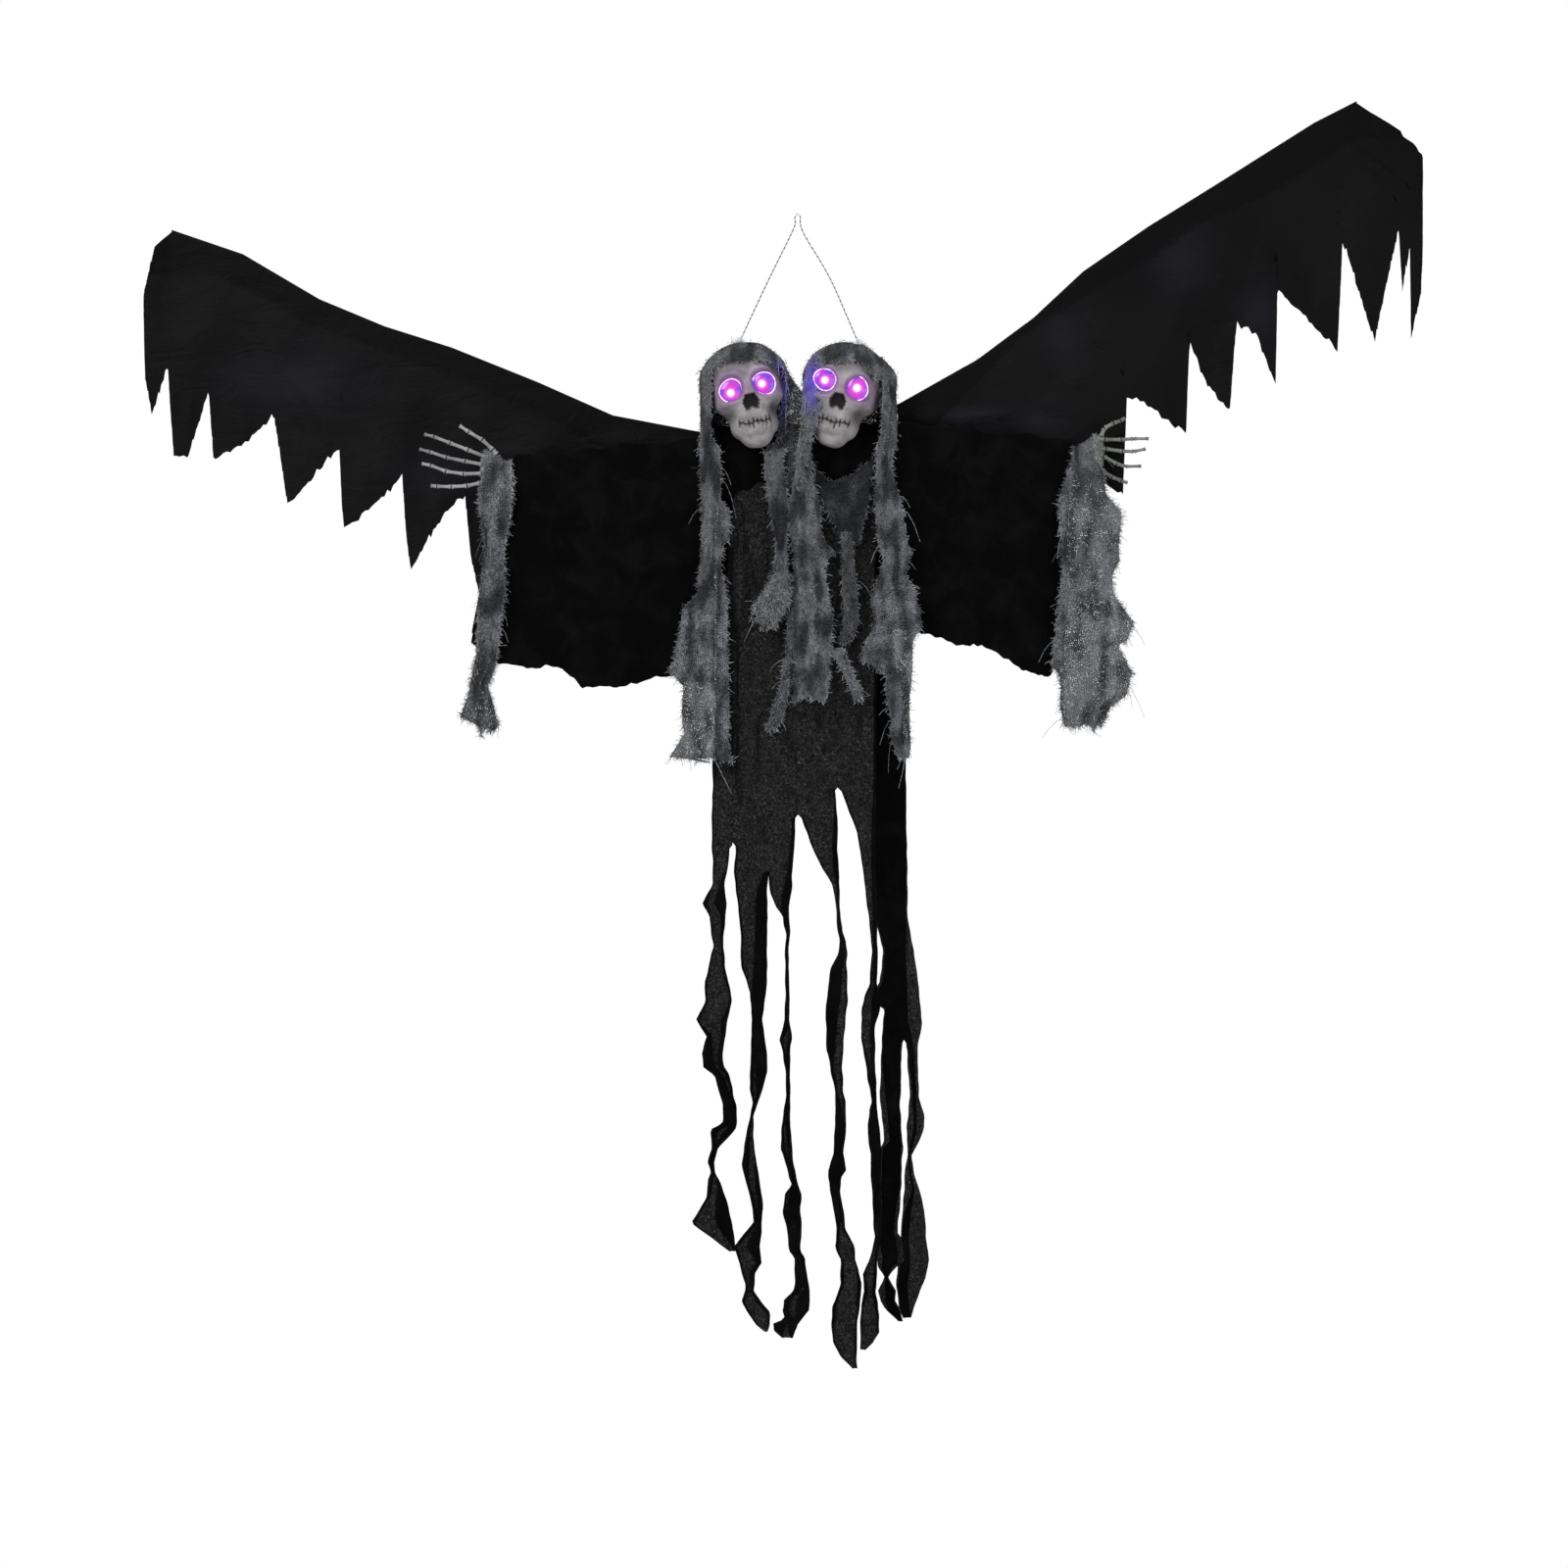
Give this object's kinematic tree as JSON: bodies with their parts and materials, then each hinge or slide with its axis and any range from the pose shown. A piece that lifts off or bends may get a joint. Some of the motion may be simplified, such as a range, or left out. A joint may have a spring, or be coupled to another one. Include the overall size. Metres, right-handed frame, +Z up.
{
  "type": "hanging ghost decoration",
  "caption": "Hanging two-headed winged skeleton figure with ragged cloth, gauze hoods, lit eyes, arms spread on a wire and a cord loop at the top.",
  "frame": {"origin": "top of the hanging cord's loop, where the hook bears", "axes": "+X to the viewer's right along the arms, -Y towards the viewer, +Z up"},
  "size_m": [1.5072, 0.1273, 1.4887],
  "materials": {
    "bone_plastic": "blow-moulded grey-white with a soft sheen",
    "hand_plastic": "grey-white moulded",
    "black_cloth": "dull black, crushed",
    "mottled_cloth": "dark grey speckled non-woven with a black back",
    "wing_satin": "thin black satin",
    "grey_gauze": "open-weave frayed gauze",
    "eye_dome": "translucent, lit from behind",
    "lamp": "clear lamp, lit",
    "black_plastic": "moulded",
    "lead_sleeve": "smooth",
    "wire_steel": "drawn wire",
    "cell_steel": "plated",
    "string": "twisted silver-grey string"
  },
  "bodies": {
    "figure": {"arm_rod": "wire_steel", "battery_case_left": "black_plastic", "battery_case_right": "black_plastic", "battery_cover_left": "black_plastic", "battery_cover_right": "black_plastic", "button_cell_left_1": "cell_steel", "button_cell_left_2": "cell_steel", "button_cell_left_3": "cell_steel", "button_cell_right_1": "cell_steel", "button_cell_right_2": "cell_steel", "button_cell_right_3": "cell_steel", "collar": "black_cloth", "cover_screw_left": "wire_steel", "cover_screw_right": "wire_steel", "crown_knot_left": "string", "crown_knot_right": "string", "eye_dome_left_inner": "eye_dome", "eye_dome_left_outer": "eye_dome", "eye_dome_right_inner": "eye_dome", "eye_dome_right_outer": "eye_dome", "eye_led_left_inner": "lamp", "eye_led_left_outer": "lamp", "eye_led_right_inner": "lamp", "eye_led_right_outer": "lamp", "hand_left": "hand_plastic", "hand_right": "hand_plastic", "hang_cord": "string", "hood_left": "grey_gauze", "hood_right": "grey_gauze", "led_lead_left_inner": "lead_sleeve", "led_lead_left_outer": "lead_sleeve", "led_lead_right_inner": "lead_sleeve", "led_lead_right_outer": "lead_sleeve", "neck_stem_left": "bone_plastic", "neck_stem_right": "bone_plastic", "robe_back": "black_cloth", "robe_front": "mottled_cloth", "skull_left": "bone_plastic", "skull_right": "bone_plastic", "sleeve_left": "black_cloth", "sleeve_right": "black_cloth", "wing_left": "wing_satin", "wing_right": "wing_satin", "wing_spar_left": "wire_steel", "wing_spar_right": "wire_steel", "wrist_gauze_left": "grey_gauze", "wrist_gauze_right": "grey_gauze"},
    "switch_left": {"switch_knob_left": "black_plastic"},
    "switch_right": {"switch_knob_right": "black_plastic"}
  },
  "joints": [
    {"name": "switch_slide_left", "type": "slide", "parent": "figure", "child": "switch_left", "axis": [-1, 0, 0], "range_m": [0, 0.003]},
    {"name": "switch_slide_right", "type": "slide", "parent": "figure", "child": "switch_right", "axis": [-1, 0, 0], "range_m": [0, 0.003]}
  ]
}
